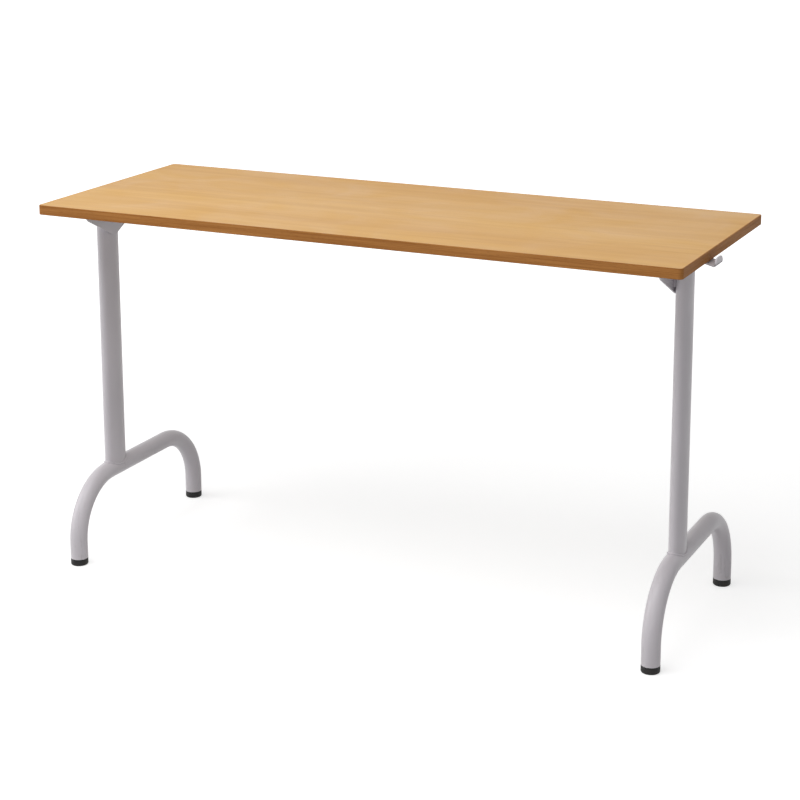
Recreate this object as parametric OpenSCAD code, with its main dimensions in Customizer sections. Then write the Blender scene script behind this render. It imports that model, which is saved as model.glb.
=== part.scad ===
// Two-seat school desk: a laminated worktop on two welded tube frames.
// Millimetres, +X along the length, +Y towards the side it is used from, +Z up.
// The origin is on the floor, below the middle of the worktop.

/* [Worktop] */
// Length of the worktop
top_l = 1300; // [1200:10:1400]
// Depth of the worktop
top_w = 500; // [480:10:600]
// Thickness of the worktop
top_t = 19; // [17:1:25]
// Radius of the worktop's corners, seen from above
corner_r = 8; // [6:1:20]
// Thickness of the laminate on each face
laminate_t = 0.8; // [0.6:0.1:1.2]
// Thickness of the edge band
band_t = 2; // [1.5:0.5:3]
// Radius of the edge band's upper and lower edges
arris_r = 1.2; // [0.6:0.1:1.4]
// Height of the worktop above the floor
desk_h = 742; // [640:2:820]

/* [Foot] */
// Diameter of the foot tube
foot_d = 35; // [33:1:40]
// Wall of the foot tube
foot_wall = 2; // [1.5:0.5:3]
// Distance between the two floor ends of a foot, centre to centre
foot_span = 444; // [400:2:470]
// Height of the foot tube's level stretch, at its centre
foot_bar_z = 164; // [156:2:200]
// Bend radius of the foot tube, at its centre
bend_r = 117; // [100:1:125]
// Height of a foot cap below the tube
cap_h = 14; // [10:1:18]
// Depth of a foot cap's plug inside the tube
cap_plug = 22; // [15:1:26]
// Radius of a foot cap's lower edge
cap_edge_r = 3; // [1:0.5:4]

/* [Post] */
// Width of the oval post, along the desk's length
post_w = 30; // [25:1:31]
// Depth of the oval post, along the desk's depth
post_d = 60; // [54:1:64]
// Radius of the oval post's narrow ends
post_nose_r = 10; // [8:1:12]
// Wall of the post
post_wall = 1.5; // [1.5:0.5:2.5]
// Distance from the worktop's end to the post's axis
post_inset = 46; // [42:1:60]
// Distance from the worktop's front edge to the post's axis
post_setback = 169; // [160:1:190]

/* [Head] */
// Length of the head plate, along the desk's depth
plate_l = 194; // [180:2:200]
// Height of the head plate at the post
plate_h = 63; // [54:1:66]
// Radius of the head plate's two rounded ends
plate_r = 15; // [12:1:18]
// Length of the head plate's level lower edge
plate_low_l = 12; // [8:2:40]
// Length of the fixing bar under the worktop
bar_l = 410; // [300:10:440]
// Width of the fixing bar
bar_w = 40; // [34:1:42]

/* [Cross beam] */
// Width of the oval beam, along the desk's depth
beam_w = 60; // [54:1:64]
// Height of the oval beam
beam_h = 30; // [25:1:32]
// Radius of the oval beam's narrow edges
beam_nose_r = 10; // [8:1:12]
// Gap between the fixing bar and the beam
beam_gap = 4.5; // [4:0.5:10]
// Wall of the beam
beam_wall = 1.5; // [1.5:0.5:2.5]
// Distance from the desk's middle to a beam saddle
saddle_x = 300; // [200:10:450]
// Size of a beam saddle, along and across the beam
saddle_w = 30; // [22:1:40]

/* [Bag hook] */
// Width of the hook, along the desk's depth
hook_w = 41; // [36:1:60]
// Reach of the hook past the worktop's end
hook_reach = 14.5; // [12:0.5:30]
// Slope of the hook's sloping stretch, in degrees
hook_slope = 15.5; // [10:0.5:25]
// Height of the hook's lip above its lowest point
hook_lip = 16.5; // [14:0.5:25]
// Radius of the lip's rounded corners
hook_lip_r = 12; // [4:1:12]
// Distance from the worktop's end back to the hook's first bend
hook_bend_in = 10; // [6:1:14]

/* [Fixings] */
// Thickness of the hook's and of the fixing bar's flat steel
flat_t = 3; // [2.5:0.5:4]
// Diameter of a wood screw's shank
screw_d = 4.5; // [4:0.5:5]
// Diameter of a wood screw's head
screw_head_d = 9.5; // [8:0.5:10]
// Height of a wood screw's head
screw_head_h = 2.8; // [2:0.2:3.4]
// Length of a wood screw inside the worktop
screw_bite = 13; // [9:1:14]
// Leg of a weld bead
weld_leg = 3; // [2:0.5:4]

/* [Hidden] */
$fn = 96;

// Clearance of a plug in its tube and of a screw in its pilot hole, on the diameter
fit_gap = 0.3;
// Clearance of a screw in the steel that it holds, on the diameter
steel_gap = 1;
// Distance by which a cutting shape passes the face that it cuts
cut_past = 1;
// Distance between the two screws of a pair
screw_gap = 20;
// Distance between a screw's head and the edge of its steel
head_margin = 0.5;
// Distance from a pair of screws to the end of the fixing bar
bar_margin = 12;
// Length and end diameter of a screw's point
point_l = 4;
point_d = 1;
// Depth, width and length of a screw's cross recess
recess_depth = 1.6;
recess_w = 1.2;
recess_l = 5;
// Wall of a foot cap's hollow plug, and its solid bottom
plug_wall = 2.5;
cap_bottom = 4;
// Height of the middle of a head plate's rounded end below the fixing bar
plate_end = 8;
// Radius of a saddle's upright edges
saddle_r = 3;

// Levels and places that the pieces share
under_z = desk_h - top_t;
post_x = top_l / 2 - post_inset;
post_y = -top_w / 2 + post_setback;
post_top = under_z - flat_t;
plate_x = post_x - post_w / 2 - flat_t;
beam_z = post_top - beam_gap - beam_h / 2;
saddle_h = under_z - beam_z;
beam_base_z = beam_z - beam_h / 2;
hook_root_x = post_x + bar_w / 2;
hook_bend_x = top_l / 2 - hook_bend_in;
hook_lip_x = top_l / 2 + hook_reach - flat_t / 2;
hook_root_z = under_z - flat_t / 2;
hook_low_z = hook_root_z - (hook_lip_x - hook_bend_x) * tan(hook_slope);
hook_tip_z = hook_low_z - flat_t / 2 + hook_lip;

// Places of the screws on the right half of the desk
hook_screw_x = hook_bend_x - head_margin - screw_head_d / 2;
hook_screws_at = [for (s = [-1, 1]) [hook_screw_x, post_y + s * screw_gap / 2]];
bar_screws_at = [for (end = [-1, 1], s = [-1, 1])
    [post_x + s * screw_gap / 2, end * (bar_l / 2 - bar_margin)]];
beam_screws_at = [[saddle_x, post_y]];

face_wood = "burlywood";
edge_wood = "peru";
board = "tan";
paint = "gainsboro";
grey_plastic = "darkgray";
black_plastic = "black";
zinc = "silver";

// Shapes that several pieces use

module on_left() {
    mirror([1, 0, 0]) children();
}

module both_sides() {
    children();
    on_left() children();
}

// A rectangle with round corners, centred on the origin
module round_rectangle(l, w, r) {
    square([l - 2 * r, w], center = true);
    square([l, w - 2 * r], center = true);
    for (sx = [-1, 1], sy = [-1, 1])
        translate([sx * (l / 2 - r), sy * (w / 2 - r)]) circle(r);
}

// An oval of four tangent arcs, w wide along X and d deep along Y, with noses of radius r
module oval(w, d, r) {
    nose_y = d / 2 - r;
    side_r = (pow(w / 2, 2) + pow(nose_y, 2) - r * r) / (w - 2 * r);
    side_x = side_r - w / 2;
    tangent_y = nose_y * side_r / (side_r - r);
    intersection() {
        translate([-side_x, 0]) circle(side_r);
        translate([side_x, 0]) circle(side_r);
        square([2 * w, 2 * tangent_y], center = true);
    }
    for (s = [-1, 1])
        translate([0, s * nose_y]) circle(r);
}

// A round bar along Y, from one depth to another
module rod_y(d, from_y, to_y) {
    translate([0, from_y, 0])
        rotate([-90, 0, 0]) cylinder(d = d, h = to_y - from_y);
}

// A disc that stands on the origin, its lower rim rounded
module rounded_disc(d, h, r) {
    rotate_extrude() {
        square([d / 2 - r, h]);
        translate([0, r]) square([d / 2, h - r]);
        translate([d / 2 - r, r]) circle(r);
    }
}

// A pan head wood screw that points up, its head's bearing face on the origin
module wood_screw(length) {
    color(zinc)
        difference() {
            union() {
                translate([0, 0, -screw_head_h])
                    rounded_disc(screw_head_d, screw_head_h, screw_head_h / 2);
                cylinder(d = screw_d, h = length - point_l);
                translate([0, 0, length - point_l])
                    cylinder(d1 = screw_d, d2 = point_d, h = point_l);
            }
            for (turn = [0, 90])
                rotate(turn) translate([-recess_l / 2, -recess_w / 2, -screw_head_h - cut_past])
                    cube([recess_l, recess_w, recess_depth + cut_past]);
        }
}

// Places its child at each of the given places, on both halves of the desk
module at_places(places, z) {
    both_sides()
        for (p = places)
            translate([p[0], p[1], z]) children();
}

// The worktop

module pilot_holes() {
    at_places(concat(hook_screws_at, bar_screws_at, beam_screws_at), under_z - cut_past)
        cylinder(d = screw_d + fit_gap, h = cut_past + screw_bite + fit_gap);
}

module worktop_layer(z, t) {
    translate([0, 0, z])
        linear_extrude(t)
            round_rectangle(top_l - 2 * band_t, top_w - 2 * band_t, corner_r - band_t);
}

module top_core() {
    color(board)
        difference() {
            worktop_layer(under_z + laminate_t, top_t - 2 * laminate_t);
            pilot_holes();
        }
}

module top_laminate() {
    color(face_wood) worktop_layer(desk_h - laminate_t, laminate_t);
}

module underside_laminate() {
    color(board)
        difference() {
            worktop_layer(under_z, laminate_t);
            pilot_holes();
        }
}

// Section of the edge band, its outer edges rounded
module band_section() {
    square([band_t - arris_r, top_t]);
    translate([0, arris_r]) square([band_t, top_t - 2 * arris_r]);
    intersection() {
        square([band_t, top_t]);
        for (z = [arris_r, top_t - arris_r])
            translate([band_t - arris_r, z]) circle(arris_r);
    }
}

// The band along one side of the worktop and round the corner that follows it
module band_side(out, length) {
    translate([out - band_t, length / 2, 0])
        rotate([90, 0, 0]) linear_extrude(length) band_section();
    translate([out - corner_r, length / 2, 0])
        rotate_extrude(angle = 90) translate([corner_r - band_t, 0]) band_section();
}

module edge_band() {
    color(edge_wood)
        translate([0, 0, under_z])
            for (turn = [0, 180]) {
                rotate(turn) band_side(top_l / 2, top_w - 2 * corner_r);
                rotate(turn + 90) band_side(top_w / 2, top_l - 2 * corner_r);
            }
}

// The foot

// The bent foot bar as a solid of diameter d, its floor ends at height end_z
module foot_bar(d, end_z) {
    bend_y = foot_span / 2 - bend_r;
    bend_z = foot_bar_z - bend_r;
    translate([post_x, 0, 0]) {
        translate([0, 0, foot_bar_z]) rod_y(d, -bend_y, bend_y);
        for (turn = [0, 180])
            rotate(turn) {
                translate([0, bend_y, bend_z])
                    rotate([90, 0, 90])
                        rotate_extrude(angle = 90) translate([bend_r, 0]) circle(d = d);
                translate([0, foot_span / 2, end_z]) cylinder(d = d, h = bend_z - end_z);
            }
    }
}

module foot_tube() {
    color(paint)
        difference() {
            foot_bar(foot_d, cap_h);
            foot_bar(foot_d - 2 * foot_wall, cap_h - cut_past);
        }
}

// A foot cap with a hollow plug, at the front end for side -1 and at the rear end for side 1
module foot_cap(side) {
    plug_d = foot_d - 2 * foot_wall - fit_gap;
    color(black_plastic)
        translate([post_x, side * foot_span / 2, 0])
            difference() {
                union() {
                    rounded_disc(foot_d, cap_h, cap_edge_r);
                    cylinder(d = plug_d, h = cap_h + cap_plug);
                }
                translate([0, 0, cap_bottom])
                    cylinder(d = plug_d - 2 * plug_wall, h = cap_h + cap_plug);
            }
}

// The post

module post_prism(grow = 0, past = 0) {
    translate([post_x, post_y, foot_bar_z - past])
        linear_extrude(post_top - foot_bar_z + 2 * past)
            oval(post_w + 2 * grow, post_d + 2 * grow, post_nose_r + grow);
}

module post() {
    color(paint)
        difference() {
            post_prism();
            post_prism(-post_wall, cut_past);
            foot_bar(foot_d, cap_h);
        }
}

// Bead all round the post where it stands on the foot tube
module foot_weld() {
    seat_z = foot_bar_z + sqrt(pow(foot_d / 2, 2) - pow(post_w / 2, 2));
    color(paint)
        difference() {
            intersection() {
                post_prism(weld_leg);
                foot_bar(foot_d + 2 * weld_leg, cap_h);
                translate([0, -top_w / 2, seat_z - weld_leg]) cube([top_l, top_w, foot_d]);
            }
            post_prism(0, cut_past);
            foot_bar(foot_d, cap_h);
        }
}

// The head

// The head plate seen from the side, its upper edge at height 0
module plate_outline() {
    end_y = plate_l / 2 - plate_r;
    low_y = plate_low_l / 2;
    run = [end_y - low_y, plate_h - plate_end];
    slope = atan2(run[1], run[0]) - asin(plate_r / norm(run));
    touch = [end_y + plate_r * sin(slope), -plate_end - plate_r * cos(slope)];
    polygon([
        [-end_y, 0],
        [-touch[0], touch[1]],
        [-low_y, -plate_h],
        [low_y, -plate_h],
        touch,
        [end_y, 0]
    ]);
    for (s = [-1, 1])
        intersection() {
            translate([s * end_y, -plate_end]) circle(plate_r);
            translate([-plate_l, -plate_h]) square([2 * plate_l, plate_h]);
        }
}

// Upright plate on the post's inner side, under the fixing bar
module head_plate() {
    color(paint)
        translate([plate_x, post_y, post_top])
            rotate([90, 0, 90]) linear_extrude(flat_t) plate_outline();
}

// Upright beads in front of and behind the line where the post touches the head plate
module head_weld() {
    bead_h = plate_h - plate_r;
    color(paint)
        difference() {
            for (s = [-1, 1])
                translate([plate_x + flat_t, post_y + s * post_d / 4 - weld_leg, post_top - bead_h])
                    cube([weld_leg, 2 * weld_leg, bead_h]);
            post_prism(0, cut_past);
        }
}

// Flat bar that lies on the post and the head plate and is screwed to the worktop at both ends
module fixing_bar() {
    color(paint)
        difference() {
            translate([post_x - bar_w / 2, -bar_l / 2, under_z - flat_t]) cube([bar_w, bar_l, flat_t]);
            steel_holes(bar_screws_at);
        }
}

module steel_holes(places) {
    at_places(places, under_z - flat_t - cut_past)
        cylinder(d = screw_d + steel_gap, h = flat_t + 2 * cut_past);
}

// The cross beam

module beam_prism(grow = 0, past = 0) {
    translate([-plate_x - past, post_y, beam_z])
        rotate([0, 90, 0])
            linear_extrude(2 * (plate_x + past))
                oval(beam_h + 2 * grow, beam_w + 2 * grow, beam_nose_r + grow);
}

module beam_holes() {
    at_places(beam_screws_at, beam_base_z - cut_past)
        cylinder(d = screw_d + steel_gap, h = under_z - beam_base_z + 2 * cut_past);
}

module cross_beam() {
    color(paint)
        difference() {
            beam_prism();
            beam_prism(-beam_wall, cut_past);
            beam_holes();
        }
}

// Bead all round the beam's end, on the head plate
module beam_weld() {
    color(paint)
        difference() {
            intersection() {
                beam_prism(weld_leg);
                translate([plate_x - weld_leg, -top_w / 2, 0]) cube([weld_leg, top_w, desk_h]);
            }
            beam_prism(0, cut_past);
        }
}

// Moulded spacer that sits on the beam and carries the worktop
module beam_saddle() {
    color(grey_plastic)
        difference() {
            translate([saddle_x, post_y, beam_z])
                linear_extrude(saddle_h) round_rectangle(saddle_w, saddle_w, saddle_r);
            beam_prism();
            beam_holes();
        }
}

// The bag hook

// A stretch of flat steel seen edge on, its midline between two points
module flat_strip(from, to) {
    run = to - from;
    translate(from)
        rotate(atan2(run[1], run[0]))
            translate([0, -flat_t / 2]) square([norm(run), flat_t]);
}

// The hook seen from the front: a level root, a sloping stretch and an upright lip
module hook_section() {
    midline = [
        [hook_root_x, hook_root_z],
        [hook_bend_x, hook_root_z],
        [hook_lip_x, hook_low_z],
        [hook_lip_x, hook_tip_z]
    ];
    for (i = [0 : len(midline) - 2])
        flat_strip(midline[i], midline[i + 1]);
    for (i = [1 : len(midline) - 2])
        translate(midline[i]) circle(d = flat_t);
}

// Cuts the lip's two upper corners round
module lip_corner_cuts() {
    for (s = [-1, 1])
        translate([hook_lip_x, post_y + s * (hook_w / 2 - hook_lip_r), hook_tip_z - hook_lip_r])
            rotate([90, 0, 90])
                linear_extrude(flat_t + 2 * cut_past, center = true)
                    difference() {
                        translate([s > 0 ? 0 : -hook_w, 0]) square(hook_w);
                        circle(hook_lip_r);
                    }
}

module bag_hook() {
    color(paint)
        difference() {
            translate([0, post_y + hook_w / 2, 0])
                rotate([90, 0, 0]) linear_extrude(hook_w) hook_section();
            lip_corner_cuts();
            steel_holes(hook_screws_at);
        }
}

// The screws

module hook_screws() {
    at_places(hook_screws_at, under_z - flat_t) wood_screw(flat_t + screw_bite);
}

module bar_screws() {
    at_places(bar_screws_at, under_z - flat_t) wood_screw(flat_t + screw_bite);
}

module beam_screws() {
    at_places(beam_screws_at, beam_base_z) wood_screw(under_z - beam_base_z + screw_bite);
}

// What each node draws

top_core();
top_laminate();
underside_laminate();
edge_band();
on_left() post();  // left_post
post();  // right_post
on_left() foot_tube();  // left_foot_tube
foot_tube();  // right_foot_tube
on_left() head_plate();  // left_head_plate
head_plate();  // right_head_plate
cross_beam();
on_left() fixing_bar();  // left_fixing_bar
fixing_bar();  // right_fixing_bar
on_left() bag_hook();  // left_bag_hook
bag_hook();  // right_bag_hook
on_left() foot_weld();  // left_foot_weld
foot_weld();  // right_foot_weld
on_left() head_weld();  // left_head_weld
head_weld();  // right_head_weld
on_left() beam_weld();  // left_beam_weld
beam_weld();  // right_beam_weld
on_left() foot_cap(-1);  // left_front_foot_cap
on_left() foot_cap(1);  // left_rear_foot_cap
foot_cap(-1);  // right_front_foot_cap
foot_cap(1);  // right_rear_foot_cap
on_left() beam_saddle();  // left_beam_saddle
beam_saddle();  // right_beam_saddle
hook_screws();
bar_screws();
beam_screws();
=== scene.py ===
"""School desk: finishes, weld beads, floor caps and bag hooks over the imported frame."""

import math

import bmesh
import bpy
from bpy.props import FloatProperty, FloatVectorProperty, PointerProperty
from mathutils import Matrix, Vector


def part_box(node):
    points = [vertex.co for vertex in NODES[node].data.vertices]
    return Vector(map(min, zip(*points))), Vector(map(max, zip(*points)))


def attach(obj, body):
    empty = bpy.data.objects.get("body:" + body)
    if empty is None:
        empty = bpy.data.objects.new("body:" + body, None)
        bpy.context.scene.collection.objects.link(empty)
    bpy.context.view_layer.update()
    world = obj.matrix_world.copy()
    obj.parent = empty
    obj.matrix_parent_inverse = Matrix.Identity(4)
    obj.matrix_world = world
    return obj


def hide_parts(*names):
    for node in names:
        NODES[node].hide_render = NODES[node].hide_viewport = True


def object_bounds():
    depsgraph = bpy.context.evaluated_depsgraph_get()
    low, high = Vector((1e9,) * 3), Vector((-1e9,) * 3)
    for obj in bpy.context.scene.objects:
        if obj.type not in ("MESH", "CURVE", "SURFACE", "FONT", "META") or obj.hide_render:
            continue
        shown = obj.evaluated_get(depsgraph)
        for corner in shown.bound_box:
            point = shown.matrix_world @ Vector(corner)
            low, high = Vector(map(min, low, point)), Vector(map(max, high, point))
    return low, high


bl_info = {
    "name": "School Desk",
    "version": (1, 0, 0),
    "blender": (4, 5, 0),
    "location": "View3D > Sidebar > Desk",
    "description": "Dresses a school desk with its finishes, weld beads, floor caps and bag hooks",
    "category": "Object",
}

MM = 0.001
ROOT = "root"
SIDES = ("left", "right")

# The edge band's joint: its place along the desk, and the depths between which it fades in at the rear
JOINT_X = 120 * MM
JOINT_STARTS_Y = 245 * MM
JOINT_ENDS_Y = 249 * MM
# Height above the floor at which the dust on the plastic ends
DUST_HEIGHT = 20 * MM
# Height of the lumps in a weld bead's paint, in millimetres
BEAD_LUMPS = 0.25
# A floor cap's rounded lower edge as a share of its radius, and its rim as a share of its height
CAP_EDGE_SHARE = 0.17
CAP_RIM_SHARE = 0.2
# Half the width of the floor, and the distances from the desk between which it turns wholly white
FLOOR_HALF = 14
FLOOR_NEAR = 1.2
FLOOR_FAR = 3
# Light that the floor adds for the camera, close to the desk and far from it
FLOOR_LIFT_NEAR = 0.62
FLOOR_LIFT_FAR = 1
# Each lamp's name, its power's setting, its width in metres and its place
LAMPS = (
    ("key_lamp", "key_power", 2.6, (-0.5, -1.3, 3.1)),
    ("fill_lamp", "fill_power", 2.2, (-3.2, -1.2, 1.3)),
    ("front_lamp", "front_power", 2, (0.6, -3.4, 1.4)),
)

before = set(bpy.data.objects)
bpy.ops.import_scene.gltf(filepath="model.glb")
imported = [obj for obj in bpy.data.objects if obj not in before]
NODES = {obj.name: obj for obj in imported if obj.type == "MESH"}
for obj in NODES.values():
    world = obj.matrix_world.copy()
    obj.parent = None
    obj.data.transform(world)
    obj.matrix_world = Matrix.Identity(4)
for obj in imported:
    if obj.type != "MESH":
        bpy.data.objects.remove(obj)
CAD_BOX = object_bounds()


def tone(red, green, blue):
    """A scene-linear colour from three display values of 0 to 255."""
    shares = (red / 255, green / 255, blue / 255)
    return tuple(s / 12.92 if s <= 0.04045 else ((s + 0.055) / 1.055) ** 2.4 for s in shares)


def colour_property(name, description, default):
    """A colour that a user can pick."""
    return FloatVectorProperty(
        name=name, description=description, default=default, subtype="COLOR", min=0, max=1
    )


def length_property(name, description, default_mm, lowest_mm=0.01):
    """A length that a user can change, given here in millimetres."""
    return FloatProperty(
        name=name,
        description=description,
        default=default_mm * MM,
        min=lowest_mm * MM,
        unit="LENGTH",
        precision=5,
    )


def power_property(name, description, default):
    """The power of a lamp, in watts."""
    return FloatProperty(name=name, description=description, default=default, unit="POWER")


# Settings


class DeskColours(bpy.types.PropertyGroup):
    """Colours of the desk's finishes."""

    beech: colour_property("Beech", "Main tone of the worktop's beech decor", tone(219, 171, 95))
    beech_dark: colour_property("Beech grain", "Tone of the decor's darker grain", tone(203, 149, 74))
    edge: colour_property("Edge band", "Main tone of the edge band", tone(178, 122, 66))
    edge_dark: colour_property("Edge grain", "Tone of the edge band's grain", tone(152, 98, 48))
    backing: colour_property("Backing", "Laminate on the worktop's underside", tone(206, 190, 166))
    chip_light: colour_property("Light chips", "Lighter chips of the board", tone(205, 172, 122))
    chip_dark: colour_property("Dark chips", "Darker chips of the board", tone(150, 110, 68))
    paint: colour_property("Paint", "Powder coat of the steel frame", tone(209, 204, 209))
    scuff: colour_property("Scuffs", "Rub marks on the paint", tone(150, 146, 146))
    cap: colour_property("Floor caps", "Black plastic of the floor caps", tone(15, 15, 16))
    saddle: colour_property("Saddles", "Grey plastic of the beam saddles", tone(196, 194, 200))
    zinc: colour_property("Screws", "Zinc plate of the screws", tone(205, 204, 196))
    dust: colour_property("Dust", "Dust that settles on the floor caps", tone(120, 112, 102))


class DeskSizes(bpy.types.PropertyGroup):
    """Sizes of the pieces that are made here."""

    bead: length_property("Bead radius", "Radius of a weld bead", 2.1)
    ripple: length_property("Ripple pitch", "Distance between two ripples of a weld bead", 2.4)
    post_nose: length_property("Post nose", "Radius of the oval post's narrow ends", 10)
    hook_steel: length_property("Hook steel", "Thickness of the hook's flat steel", 3)
    hook_setback: length_property("Hook setback", "From the worktop's end to the first bend", 10)
    hook_bend: length_property("Hook bend", "Midline radius of the hook's bends", 3)
    hook_corner: length_property("Hook corner", "Radius of the lip's two corners", 12)
    hook_edge: length_property("Hook edge", "Rounding of the hook's sheared edges", 0.5)
    hook_slope: FloatProperty(
        name="Hook slope",
        description="Fall of the hook's sloping stretch",
        default=math.radians(15.5),
        subtype="ANGLE",
    )
    cap_groove: length_property("Cap groove", "Depth of the groove below a floor cap's rim", 0.5)
    cap_hollow: length_property("Cap hollow", "Depth of the hollow under a floor cap", 1)


class DeskStudio(bpy.types.PropertyGroup):
    """Camera and lamps."""

    camera_place: FloatVectorProperty(
        name="Camera place",
        description="Where the camera stands",
        default=(1.59466, -3.34073, 1.49633),
        subtype="XYZ",
        unit="LENGTH",
    )
    camera_turn: FloatProperty(
        name="Turn",
        description="Turn of the camera to the left of straight ahead",
        default=math.radians(25.3717),
        subtype="ANGLE",
    )
    camera_dip: FloatProperty(
        name="Dip",
        description="Dip of the camera below level",
        default=math.radians(12.5491),
        subtype="ANGLE",
    )
    camera_roll: FloatProperty(
        name="Roll",
        description="Roll of the camera about its own axis",
        default=math.radians(-0.1445),
        subtype="ANGLE",
    )
    lens: FloatProperty(name="Lens", description="Focal length on a 36 mm frame", default=88.731)
    lens_rise: FloatProperty(
        name="Rise", description="Vertical shift of the lens, as a share of the frame", default=-0.19375
    )
    key_power: power_property("Key lamp", "Power of the overhead lamp", 58)
    fill_power: power_property("Fill lamp", "Power of the left lamp", 34)
    front_power: power_property("Front lamp", "Power of the low lamp in front", 9)
    sky_strength: FloatProperty(name="Sky", description="Strength of the light all round", default=0.42)


# Node trees


def add_node(tree, kind, inputs=None, **settings):
    """Adds a shader node. inputs maps sockets to values or to other nodes' output sockets."""
    made = tree.nodes.new(kind)
    for key, value in settings.items():
        setattr(made, key, value)
    for socket_name, value in (inputs or {}).items():
        if isinstance(value, bpy.types.NodeSocket):
            tree.links.new(value, made.inputs[socket_name])
        else:
            made.inputs[socket_name].default_value = value
    return made


def opaque(colour):
    """The colour with full alpha, as a colour socket takes it."""
    return (*colour[:3], 1)


def darker(colour, share):
    """The opaque colour at a share of its brightness."""
    return opaque(tuple(share * part for part in colour[:3]))


def new_finish(name, constants):
    """A material with one Principled shader, and the values that are the same all over it."""
    material = bpy.data.materials.new(name)
    material.use_nodes = True
    tree = material.node_tree
    tree.nodes.clear()
    shader = add_node(tree, "ShaderNodeBsdfPrincipled", constants)
    add_node(tree, "ShaderNodeOutputMaterial", {"Surface": shader.outputs["BSDF"]})
    return material, tree, shader


def place(tree, scale=(1, 1, 1), shift=(0, 0, 0)):
    """The object's own coordinates, in metres times scale."""
    coordinates = add_node(tree, "ShaderNodeTexCoord")
    mapping = {"Vector": coordinates.outputs["Object"], "Scale": scale, "Location": shift}
    return add_node(tree, "ShaderNodeMapping", mapping).outputs["Vector"]


def cloud(tree, vector, scale, detail=3, roughness=0.5, distortion=0):
    """Soft noise from 0 to 1."""
    inputs = {
        "Vector": vector,
        "Scale": scale,
        "Detail": detail,
        "Roughness": roughness,
        "Distortion": distortion,
    }
    return add_node(tree, "ShaderNodeTexNoise", inputs).outputs[0]


def span(tree, value, low, high, to_low=0.0, to_high=1.0):
    """Maps value from low..high to to_low..to_high, and holds it there."""
    inputs = {"Value": value, "From Min": low, "From Max": high, "To Min": to_low, "To Max": to_high}
    return add_node(tree, "ShaderNodeMapRange", inputs).outputs["Result"]


def sum_up(tree, operation, first, second):
    """One arithmetic step on two values."""
    return add_node(tree, "ShaderNodeMath", {0: first, 1: second}, operation=operation).outputs[0]


def blend(tree, share, first, second, blend_type="MIX"):
    """A mix of two colours."""
    first_index, second_index, result_index = 6, 7, 2
    inputs = {0: share, first_index: first, second_index: second}
    mixer = add_node(tree, "ShaderNodeMix", inputs, data_type="RGBA", blend_type=blend_type)
    return mixer.outputs[result_index]


def relief(tree, height, depth, under=None):
    """A bump of the given depth in metres. under is a coarser bump below it."""
    inputs = {"Height": height, "Strength": 1, "Distance": depth}
    if under:
        inputs["Normal"] = under
    return add_node(tree, "ShaderNodeBump", inputs).outputs["Normal"]


def feed(tree, shader, colour, roughness, bump):
    """Links a finish's colour, roughness and bump to its shader."""
    tree.links.new(colour, shader.inputs["Base Color"])
    tree.links.new(roughness, shader.inputs["Roughness"])
    tree.links.new(bump, shader.inputs["Normal"])


def coordinate(tree, axis):
    """One of the object's coordinates, in metres."""
    coordinates = add_node(tree, "ShaderNodeTexCoord")
    parts = add_node(tree, "ShaderNodeSeparateXYZ", {0: coordinates.outputs["Object"]})
    return parts.outputs[axis]


# Finishes


def beech_laminate(colours):
    """Satin decor laminate: long soft grain along the desk, broad leaves and short dark flecks."""
    material, tree, shader = new_finish("beech_laminate", {"Specular IOR Level": 0.25})
    leaves = cloud(tree, place(tree, (0.5, 7, 1)), 1, detail=2)
    waves = cloud(tree, place(tree, (1.3, 26, 1), (3, 1, 0)), 1.6, detail=4, distortion=0.9)
    fibres = cloud(tree, place(tree, (9, 620, 1)), 1, detail=3, roughness=0.6)
    flecks = cloud(tree, place(tree, (130, 1400, 1)), 1, detail=1)
    grain = sum_up(tree, "MULTIPLY", span(tree, waves, 0.35, 0.72), 0.55)
    grain = sum_up(tree, "ADD", grain, span(tree, fibres, 0.35, 0.75, 0, 0.3))
    grain = sum_up(tree, "ADD", grain, span(tree, leaves, 0.3, 0.7, -0.2, 0.3))
    base = blend(tree, grain, opaque(colours.beech), opaque(colours.beech_dark))
    fleck_share = span(tree, flecks, 0.66, 0.74, 0, 0.4)
    base = blend(tree, fleck_share, base, darker(colours.beech_dark, 0.72))
    smears = cloud(tree, place(tree, (5, 7, 1)), 1, detail=5, distortion=1.5)
    roughness = span(tree, smears, 0.3, 0.7, 0.36, 0.5)
    pores = relief(tree, fibres, 0.02 * MM)
    feed(tree, shader, base, roughness, pores)
    return material


def beech_edge(colours):
    """Edge band: tight grain along each side, and a fine dark joint behind the middle of the desk."""
    material, tree, shader = new_finish("beech_edge", {"Specular IOR Level": 0.08})
    streaks = cloud(tree, place(tree, (5, 5, 420)), 1, detail=4, distortion=0.3)
    patches = cloud(tree, place(tree, (3, 3, 30), (1, 2, 3)), 1, detail=2)
    flecks = cloud(tree, place(tree, (90, 90, 1500)), 1, detail=1)
    grain = sum_up(tree, "ADD", span(tree, streaks, 0.35, 0.7), span(tree, patches, 0.35, 0.7, -0.2, 0.25))
    base = blend(tree, grain, opaque(colours.edge), opaque(colours.edge_dark))
    fleck_tone = darker(colours.edge_dark, 0.6)
    base = blend(tree, span(tree, flecks, 0.64, 0.72, 0, 0.5), base, fleck_tone)
    from_joint = sum_up(tree, "ABSOLUTE", sum_up(tree, "SUBTRACT", coordinate(tree, "X"), JOINT_X), 0)
    at_rear = span(tree, coordinate(tree, "Y"), JOINT_STARTS_Y, JOINT_ENDS_Y)
    joint = sum_up(tree, "MULTIPLY", span(tree, from_joint, 0.1 * MM, 0.3 * MM, 0.8, 0), at_rear)
    base = blend(tree, joint, base, fleck_tone)
    roughness = span(tree, patches, 0.3, 0.7, 0.5, 0.62)
    feed(tree, shader, base, roughness, relief(tree, streaks, 0.04 * MM))
    return material


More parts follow.
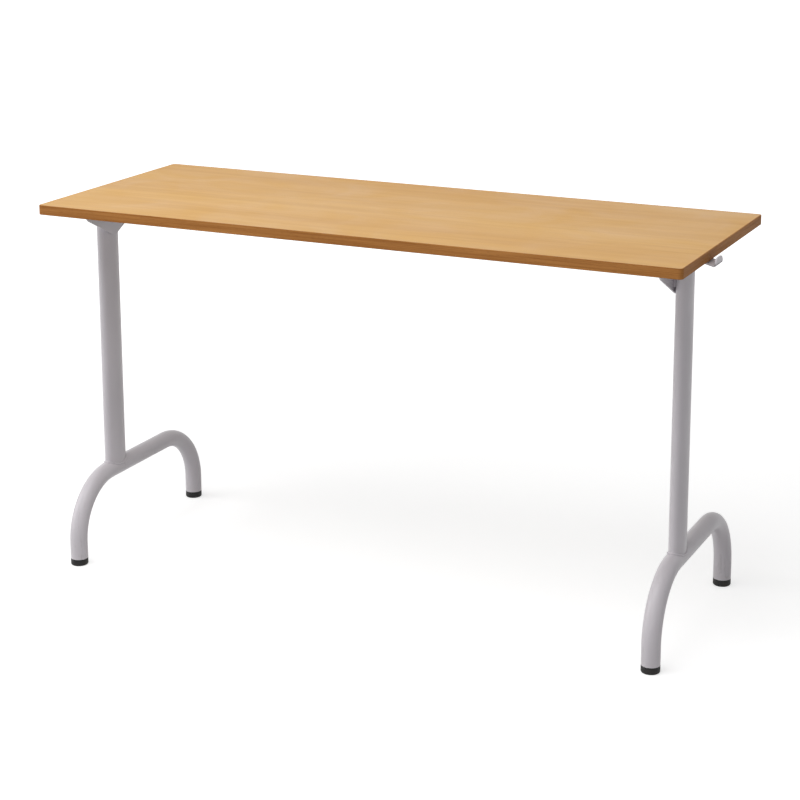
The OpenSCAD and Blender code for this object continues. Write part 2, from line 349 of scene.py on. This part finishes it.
def backing_laminate(colours):
    """Plain balancing laminate under the worktop, faintly mottled."""
    material, tree, shader = new_finish("backing_laminate", {"Specular IOR Level": 0.25})
    mottle = cloud(tree, place(tree, (60, 60, 60)), 1, detail=5)
    paper = cloud(tree, place(tree, (700, 700, 700)), 1, detail=2)
    shade = darker(colours.backing, 0.86)
    base = blend(tree, span(tree, mottle, 0.35, 0.7), opaque(colours.backing), shade)
    roughness = span(tree, mottle, 0.3, 0.7, 0.55, 0.68)
    feed(tree, shader, base, roughness, relief(tree, paper, 0.02 * MM))
    return material


def chipboard(colours):
    """Pressed wood chips."""
    material, tree, shader = new_finish("chipboard", {"Specular IOR Level": 0.2})
    chips = add_node(
        tree, "ShaderNodeTexVoronoi", {"Vector": place(tree, (350, 350, 900)), "Scale": 1, "Randomness": 1}
    )
    single = add_node(tree, "ShaderNodeSeparateColor", {0: chips.outputs["Color"]}).outputs[0]
    base = blend(tree, single, opaque(colours.chip_light), opaque(colours.chip_dark))
    roughness = span(tree, single, 0, 1, 0.75, 0.9)
    bump = relief(tree, chips.outputs["Distance"], 0.1 * MM)
    feed(tree, shader, base, roughness, bump)
    return material


def powder_coat(colours, name="powder_coat", lumps=0.0):
    """Light grey powder coat: orange peel, faint clouding, and rub marks low on the legs."""
    material, tree, shader = new_finish(name, {"Specular IOR Level": 0.35})
    peel = cloud(tree, place(tree, (520, 520, 520)), 1, detail=2)
    clouding = cloud(tree, place(tree, (7, 7, 7)), 1, detail=4)
    marks = cloud(tree, place(tree, (70, 70, 16), (2, 5, 1)), 1, detail=5, roughness=0.7, distortion=0.6)
    low_down = span(tree, coordinate(tree, "Z"), 0.02, 0.24, 1, 0.12)
    rubbed = sum_up(tree, "MULTIPLY", span(tree, marks, 0.6, 0.75, 0, 0.45), low_down)
    shade = darker(colours.paint, 0.93)
    base = blend(tree, span(tree, clouding, 0.35, 0.7), opaque(colours.paint), shade)
    base = blend(tree, rubbed, base, opaque(colours.scuff))
    roughness = sum_up(tree, "ADD", span(tree, clouding, 0.3, 0.7, 0.3, 0.38), rubbed)
    bump = relief(tree, peel, 0.03 * MM)
    if lumps:
        coarse = cloud(tree, place(tree, (260, 260, 260)), 1, detail=2)
        bump = relief(tree, coarse, lumps * MM, bump)
    feed(tree, shader, base, roughness, bump)
    return material


def moulded_plastic(name, colour, dust):
    """Fine-grained moulded plastic with dust that thins out upwards from the floor."""
    material, tree, shader = new_finish(name, {"Specular IOR Level": 0.3})
    skin = cloud(tree, place(tree, (900, 900, 900)), 1, detail=2)
    patches = cloud(tree, place(tree, (90, 90, 90)), 1, detail=5, roughness=0.65)
    low_down = span(tree, coordinate(tree, "Z"), 0, DUST_HEIGHT, 1, 0)
    dusty = sum_up(tree, "MULTIPLY", span(tree, patches, 0.45, 0.75, 0, 0.25), low_down)
    base = blend(tree, span(tree, patches, 0.35, 0.7), opaque(colour), darker(colour, 0.8))
    base = blend(tree, dusty, base, opaque(dust))
    roughness = sum_up(tree, "ADD", span(tree, patches, 0.3, 0.7, 0.42, 0.55), dusty)
    feed(tree, shader, base, roughness, relief(tree, skin, 0.03 * MM))
    return material


def zinc_plate(colours):
    """Bright zinc with a faint turning grain."""
    material, tree, shader = new_finish("zinc_plate", {"Metallic": 1, "Anisotropic": 0.3})
    turning = cloud(tree, place(tree, (400, 400, 2500)), 1, detail=3)
    haze = cloud(tree, place(tree, (150, 150, 150)), 1, detail=3)
    dull = darker(colours.zinc, 0.72)
    base = blend(tree, span(tree, haze, 0.35, 0.7), opaque(colours.zinc), dull)
    roughness = span(tree, turning, 0.3, 0.7, 0.26, 0.42)
    feed(tree, shader, base, roughness, relief(tree, turning, 0.01 * MM))
    return material


def finish_once(name, maker, *details):
    """The named material, made the first time that it is asked for."""
    return bpy.data.materials.get(name) or maker(*details)


def paint_finish():
    """The frame's powder coat."""
    return finish_once("powder_coat", powder_coat, bpy.context.scene.desk_colours)


def bead_finish():
    """The powder coat over weld beads, with their lumps."""
    name = "powder_coat_weld"
    return finish_once(name, powder_coat, bpy.context.scene.desk_colours, name, BEAD_LUMPS)


def dress(material, *names):
    """Gives CAD nodes a material."""
    for name in names:
        piece = NODES[name]
        if not piece.material_slots:
            piece.data.materials.append(material)
        for slot in piece.material_slots:
            slot.material = material


# Shapes


def new_piece(name, shape, material, replaced=()):
    """Makes an object from a bmesh, lets it ride with the desk and stand for CAD nodes."""
    mesh = bpy.data.meshes.new(name)
    bmesh.ops.recalc_face_normals(shape, faces=shape.faces)
    shape.to_mesh(mesh)
    shape.free()
    mesh.materials.append(material)
    mesh.shade_smooth()
    piece = bpy.data.objects.new(name, mesh)
    bpy.context.scene.collection.objects.link(piece)
    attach(piece, ROOT)
    if replaced:
        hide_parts(*replaced)
    return piece


def add_modifier(piece, kind, **settings):
    """Adds a modifier with its settings."""
    modifier = piece.modifiers.new(kind.title(), kind)
    for key, value in settings.items():
        setattr(modifier, key, value)
    return modifier


def spin_profile(shape, profile, centre, steps=64):
    """Turns (radius, height) points about an upright axis through centre. Ends on the axis are closed."""
    rings = []
    for radius, height in profile:
        turns = 1 if radius == 0 else steps
        ring = []
        for step in range(turns):
            angle = step / steps * math.tau
            corner = Vector((radius * math.cos(angle), radius * math.sin(angle), height))
            ring.append(shape.verts.new(centre + corner))
        rings.append(ring)
    for lower, upper in zip(rings, rings[1:]):
        for step in range(steps):
            ahead = (step + 1) % steps
            corners = [
                lower[step % len(lower)],
                lower[ahead % len(lower)],
                upper[ahead % len(upper)],
                upper[step % len(upper)],
            ]
            shape.faces.new(list(dict.fromkeys(corners)))


def oval_outline(width, depth, nose, step):
    """Points about step apart along an oval of four tangent arcs, width along X and depth along Y."""
    nose_y = depth / 2 - nose
    side = ((width / 2) ** 2 + nose_y**2 - nose**2) / (width - 2 * nose)
    side_x = side - width / 2
    tangent = math.atan2(nose_y, side_x)
    arcs = [
        ((-side_x, 0), side, -tangent, tangent),
        ((0, nose_y), nose, tangent, math.pi - tangent),
        ((side_x, 0), side, math.pi - tangent, math.pi + tangent),
        ((0, -nose_y), nose, math.pi + tangent, math.tau - tangent),
    ]
    points = []
    for (x, y), radius, start, end in arcs:
        count = max(2, round(radius * (end - start) / step))
        for i in range(count):
            angle = start + (end - start) * i / count
            points.append(Vector((x + radius * math.cos(angle), y + radius * math.sin(angle))))
    return points


def add_bead(shape, path, radius, ripple):
    """A rippled weld bead all round a closed path of points."""
    around = 10
    rings = []
    run = 0.0
    for i, point in enumerate(path):
        after = path[(i + 1) % len(path)]
        ahead = (after - path[i - 1]).normalized()
        aside = ahead.cross(Vector((0, 0, 1))).normalized()
        upward = aside.cross(ahead)
        if i:
            run += (point - path[i - 1]).length
        swell = 0.84 + 0.16 * abs(math.cos(math.pi * run / ripple))
        ring = []
        for turn in range(around):
            angle = turn / around * math.tau
            offset = aside * math.cos(angle) + upward * math.sin(angle)
            ring.append(shape.verts.new(point + offset * radius * swell))
        rings.append(ring)
    for i, second in enumerate(rings):
        first = rings[i - 1]
        for turn in range(around):
            ahead = (turn + 1) % around
            shape.faces.new([first[turn], first[ahead], second[ahead], second[turn]])


def rounded_path(corners, radius, steps=6):
    """The corners of an open path in a plane, each inner one turned into an arc."""
    path = [corners[0]]
    for before, corner, after in zip(corners, corners[1:], corners[2:]):
        back = (before - corner).normalized()
        ahead = (after - corner).normalized()
        half = back.angle(ahead) / 2
        reach = radius / math.tan(half)
        centre = corner + (back + ahead).normalized() * (radius / math.sin(half))
        start = (corner + back * reach - centre).normalized()
        end = (corner + ahead * reach - centre).normalized()
        for i in range(steps + 1):
            path.append(centre + start.slerp(end, i / steps) * radius)
    path.append(corners[-1])
    return path


def middle(low, high, axis):
    """The middle of a box along one axis."""
    return (low[axis] + high[axis]) / 2


# Operators


class DESK_OT_worktop(bpy.types.Operator):
    """Dresses the worktop: decor laminate, edge band, backing laminate and board"""

    bl_idname = "desk.worktop"
    bl_label = "Worktop"

    def execute(self, context):
        colours = context.scene.desk_colours
        dress(beech_laminate(colours), "top_laminate")
        dress(beech_edge(colours), "edge_band")
        dress(backing_laminate(colours), "underside_laminate")
        dress(chipboard(colours), "top_core")
        return {"FINISHED"}


class DESK_OT_steel_frame(bpy.types.Operator):
    """Paints the posts, foot tubes, head plates, cross beam and fixing bars"""

    bl_idname = "desk.steel_frame"
    bl_label = "Steel frame"

    def execute(self, context):
        pieces = ["cross_beam"]
        for side in SIDES:
            for part in ("post", "foot_tube", "head_plate", "fixing_bar"):
                pieces.append(f"{side}_{part}")
        dress(paint_finish(), *pieces)
        return {"FINISHED"}


class DESK_OT_weld_beads(bpy.types.Operator):
    """Lays rippled weld beads round the posts' feet, and paints the beads of the head"""

    bl_idname = "desk.weld_beads"
    bl_label = "Weld beads"

    def execute(self, context):
        sizes = context.scene.desk_sizes
        for side in SIDES:
            self.foot_bead(side, sizes)
            dress(bead_finish(), f"{side}_head_weld", f"{side}_beam_weld")
        return {"FINISHED"}

    def post_outline(self, side, sizes):
        """The post's outline, grown by a third of the bead, and its axis."""
        low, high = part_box(f"{side}_post")
        axis = Vector((middle(low, high, 0), middle(low, high, 1)))
        grown = sizes.bead / 3
        width = high.x - low.x + 2 * grown
        depth = high.y - low.y + 2 * grown
        return oval_outline(width, depth, sizes.post_nose + grown, sizes.ripple / 5), axis

    def foot_bead(self, side, sizes):
        """The bead round the post where it stands on the foot tube."""
        outline, axis = self.post_outline(side, sizes)
        low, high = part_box(f"{side}_foot_tube")
        radius = (high.x - low.x) / 2
        path = []
        for point in outline:
            height = high.z - radius + math.sqrt(max(0, radius**2 - point.x**2)) + sizes.bead / 3
            path.append(Vector((axis.x + point.x, axis.y + point.y, height)))
        shape = bmesh.new()
        add_bead(shape, path, sizes.bead, sizes.ripple)
        new_piece(f"{side}_foot_bead", shape, bead_finish(), [f"{side}_foot_weld"])


class DESK_OT_floor_caps(bpy.types.Operator):
    """Turns the four black floor caps, with a grooved rim and a hollow underside"""

    bl_idname = "desk.floor_caps"
    bl_label = "Floor caps"

    def execute(self, context):
        sizes = context.scene.desk_sizes
        colours = context.scene.desk_colours
        black = moulded_plastic("black_plastic", colours.cap, colours.dust)
        for side in SIDES:
            tube_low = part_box(f"{side}_foot_tube")[0]
            for end in ("front", "rear"):
                node = f"{side}_{end}_foot_cap"
                low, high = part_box(node)
                radius = (high.x - low.x) / 2
                shape = bmesh.new()
                centre = Vector((middle(low, high, 0), middle(low, high, 1), low.z))
                spin_profile(shape, self.profile(radius, tube_low.z - low.z, sizes), centre)
                new_piece(f"{node}_moulded", shape, black, [node])
        return {"FINISHED"}

    def profile(self, radius, height, sizes):
        """(radius, height) points of a cap, from the middle of its underside to the tube's end."""
        edge = CAP_EDGE_SHARE * radius
        sole = radius - edge
        groove = sizes.cap_groove
        rim = CAP_RIM_SHARE * height
        points = [(0, sizes.cap_hollow), (0.5 * sole, sizes.cap_hollow), (0.62 * sole, 0), (sole, 0)]
        for i in range(1, 7):
            angle = i / 6 * math.pi / 2
            points.append((sole + edge * math.sin(angle), edge * (1 - math.cos(angle))))
        points += [
            (radius, height - rim - 2 * groove),
            (radius - groove, height - rim - groove),
            (radius - groove, height - rim),
            (radius, height - rim + groove),
            (radius, height - groove),
            (radius - groove, height),
            (0, height),
        ]
        return points


class DESK_OT_saddles(bpy.types.Operator):
    """Dresses the grey beam saddles"""

    bl_idname = "desk.saddles"
    bl_label = "Saddles"

    def execute(self, context):
        colours = context.scene.desk_colours
        grey = moulded_plastic("grey_plastic", colours.saddle, colours.dust)
        dress(grey, *(f"{side}_beam_saddle" for side in SIDES))
        return {"FINISHED"}


class DESK_OT_bag_hooks(bpy.types.Operator):
    """Bends the two bag hooks from flat steel with rounded lips"""

    bl_idname = "desk.bag_hooks"
    bl_label = "Bag hooks"

    def execute(self, context):
        sizes = context.scene.desk_sizes
        for side in SIDES:
            node = f"{side}_bag_hook"
            shape = self.sheet(side, sizes)
            piece = new_piece(f"{side}_bent_hook", shape, paint_finish(), [node])
            add_modifier(piece, "SOLIDIFY", thickness=sizes.hook_steel, offset=0)
            add_modifier(piece, "BEVEL", width=sizes.hook_edge, segments=3, limit_method="ANGLE")
            add_modifier(piece, "WEIGHTED_NORMAL", keep_sharp=False)
        return {"FINISHED"}

    def sheet(self, side, sizes):
        """The hook's mid surface: rows across the strip, narrowed where the lip's corners are round."""
        low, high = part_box(f"{side}_bag_hook")
        outward = 1 if side == "right" else -1
        half_steel = sizes.hook_steel / 2
        root_x, lip_x = (low.x, high.x - half_steel) if outward > 0 else (high.x, low.x + half_steel)
        bend_x = outward * (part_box("edge_band")[1].x - sizes.hook_setback)
        root_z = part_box("underside_laminate")[0].z - half_steel
        low_z = root_z - abs(lip_x - bend_x) * math.tan(sizes.hook_slope)
        corners = [Vector((root_x, 0, root_z)), Vector((bend_x, 0, root_z)), Vector((lip_x, 0, low_z))]
        corners.append(Vector((lip_x, 0, high.z - sizes.hook_corner)))
        path = rounded_path(corners, sizes.hook_bend)
        widths = [high.y - low.y] * len(path)
        corner = sizes.hook_corner
        for i in range(1, 13):
            angle = i / 12 * math.pi / 2
            path.append(Vector((lip_x, 0, high.z - corner + corner * math.sin(angle))))
            widths.append(high.y - low.y - 2 * corner * (1 - math.cos(angle)))
        centre_y = middle(low, high, 1)
        shape = bmesh.new()
        rows = []
        across = 8
        for point, width in zip(path, widths):
            row = []
            for i in range(across + 1):
                row.append(shape.verts.new((point.x, centre_y + width * (i / across - 0.5), point.z)))
            rows.append(row)
        for first, second in zip(rows, rows[1:]):
            for i in range(across):
                shape.faces.new([first[i], first[i + 1], second[i + 1], second[i]])
        return shape


class DESK_OT_screws(bpy.types.Operator):
    """Dresses the screws of the hooks, fixing bars and beam"""

    bl_idname = "desk.screws"
    bl_label = "Screws"

    def execute(self, context):
        dress(zinc_plate(context.scene.desk_colours), "hook_screws", "bar_screws", "beam_screws")
        return {"FINISHED"}


class DESK_OT_studio(bpy.types.Operator):
    """Sets up the pale floor, the soft lamps and the camera"""

    bl_idname = "desk.studio"
    bl_label = "Studio"

    def execute(self, context):
        studio = context.scene.desk_studio
        self.floor()
        self.sky(context.scene, studio)
        for name, setting, size, spot in LAMPS:
            self.lamp(name, getattr(studio, setting), size, spot)
        self.camera(context.scene, studio)
        context.scene.view_settings.view_transform = "Standard"
        return {"FINISHED"}

    def background_rays(self, tree):
        """1 for what the camera sees, directly or in a gloss, and 0 for the rest."""
        path = add_node(tree, "ShaderNodeLightPath")
        seen = sum_up(tree, "MAXIMUM", path.outputs["Is Camera Ray"], path.outputs["Is Glossy Ray"])
        return sum_up(tree, "MAXIMUM", seen, path.outputs["Is Transmission Ray"])

    def floor(self):
        """A floor that the camera sees as white wherever no shadow falls on it."""
        shape = bmesh.new()
        bmesh.ops.create_grid(shape, x_segments=8, y_segments=8, size=FLOOR_HALF)
        mesh = bpy.data.meshes.new("floor")
        shape.to_mesh(mesh)
        shape.free()
        piece = bpy.data.objects.new("floor", mesh)
        bpy.context.scene.collection.objects.link(piece)
        material, tree, shader = new_finish("floor_paint", {"Specular IOR Level": 0.1})
        speckle = cloud(tree, place(tree, (3, 3, 3)), 1, detail=3)
        base = blend(tree, speckle, opaque(tone(206, 206, 206)), opaque(tone(212, 212, 212)))
        feed(tree, shader, base, span(tree, speckle, 0, 1, 0.8, 0.9), relief(tree, speckle, 0.1 * MM))
        measure = add_node(tree, "ShaderNodeVectorMath", {0: place(tree)}, operation="LENGTH")
        from_desk = measure.outputs["Value"]
        strength = span(tree, from_desk, FLOOR_NEAR, FLOOR_FAR, FLOOR_LIFT_NEAR, FLOOR_LIFT_FAR)
        lift = add_node(tree, "ShaderNodeEmission", {"Strength": strength})
        seen = add_node(tree, "ShaderNodeAddShader", {0: shader.outputs[0], 1: lift.outputs[0]})
        inputs = {0: self.background_rays(tree), 1: shader.outputs[0], 2: seen.outputs[0]}
        chosen = add_node(tree, "ShaderNodeMixShader", inputs)
        tree.links.new(chosen.outputs[0], tree.nodes["Material Output"].inputs["Surface"])
        mesh.materials.append(material)

    def sky(self, scene, studio):
        """Even light all round, seen by the camera as white."""
        world = bpy.data.worlds.new("studio_sky")
        world.use_nodes = True
        tree = world.node_tree
        tree.nodes.clear()
        soft = add_node(tree, "ShaderNodeBackground", {"Strength": studio.sky_strength})
        white = add_node(tree, "ShaderNodeBackground", {"Color": (1, 1, 1, 1), "Strength": 1})
        inputs = {0: self.background_rays(tree), 1: soft.outputs[0], 2: white.outputs[0]}
        chosen = add_node(tree, "ShaderNodeMixShader", inputs)
        add_node(tree, "ShaderNodeOutputWorld", {"Surface": chosen.outputs[0]})
        scene.world = world

    def lamp(self, name, power, size, spot):
        """A square soft lamp that points at the middle of the desk."""
        light = bpy.data.lights.new(name, "AREA")
        light.energy = power
        light.size = size
        lamp = bpy.data.objects.new(name, light)
        lamp.location = spot
        target = Vector((0, 0, CAD_BOX[1][2] / 2))
        lamp.rotation_euler = (target - Vector(spot)).to_track_quat("-Z", "Y").to_euler()
        bpy.context.scene.collection.objects.link(lamp)

    def camera(self, scene, studio):
        """A camera at the photograph's angle."""
        turn, dip, roll = studio.camera_turn, studio.camera_dip, studio.camera_roll
        forward = Vector((-math.sin(turn) * math.cos(dip), math.cos(turn) * math.cos(dip), -math.sin(dip)))
        level = Vector((math.cos(turn), math.sin(turn), 0))
        upright = level.cross(forward)
        right = math.cos(roll) * level + math.sin(roll) * upright
        up = math.cos(roll) * upright - math.sin(roll) * level
        camera = bpy.data.objects.new("camera", bpy.data.cameras.new("camera"))
        axes = Matrix((right, up, -forward)).transposed()
        camera.matrix_world = Matrix.Translation(studio.camera_place) @ axes.to_4x4()
        camera.data.lens = studio.lens
        camera.data.sensor_width = 36
        camera.data.shift_y = studio.lens_rise
        scene.collection.objects.link(camera)
        scene.camera = camera


# Panel and registration

OPERATORS = (
    DESK_OT_worktop,
    DESK_OT_steel_frame,
    DESK_OT_weld_beads,
    DESK_OT_floor_caps,
    DESK_OT_saddles,
    DESK_OT_bag_hooks,
    DESK_OT_screws,
    DESK_OT_studio,
)


class DESK_PT_panel(bpy.types.Panel):
    """Lists the desk's settings and operators"""

    bl_idname = "DESK_PT_panel"
    bl_label = "School Desk"
    bl_space_type = "VIEW_3D"
    bl_region_type = "UI"
    bl_category = "Desk"

    def draw(self, context):
        layout = self.layout
        for group in (context.scene.desk_colours, context.scene.desk_sizes, context.scene.desk_studio):
            box = layout.box()
            for name in group.__annotations__:
                box.prop(group, name)
        for operator in OPERATORS:
            layout.operator(operator.bl_idname)


SETTINGS = {"desk_colours": DeskColours, "desk_sizes": DeskSizes, "desk_studio": DeskStudio}
CLASSES = (*SETTINGS.values(), *OPERATORS, DESK_PT_panel)


def register():
    for each in CLASSES:
        bpy.utils.register_class(each)
    for name, group in SETTINGS.items():
        setattr(bpy.types.Scene, name, PointerProperty(type=group))


def unregister():
    for name in SETTINGS:
        delattr(bpy.types.Scene, name)
    for each in reversed(CLASSES):
        bpy.utils.unregister_class(each)


def main():
    register()
    bpy.ops.desk.worktop()
    bpy.ops.desk.steel_frame()
    bpy.ops.desk.weld_beads()
    bpy.ops.desk.floor_caps()
    bpy.ops.desk.saddles()
    bpy.ops.desk.bag_hooks()
    bpy.ops.desk.screws()
    bpy.ops.desk.studio()


if __name__ == "__main__":
    main()
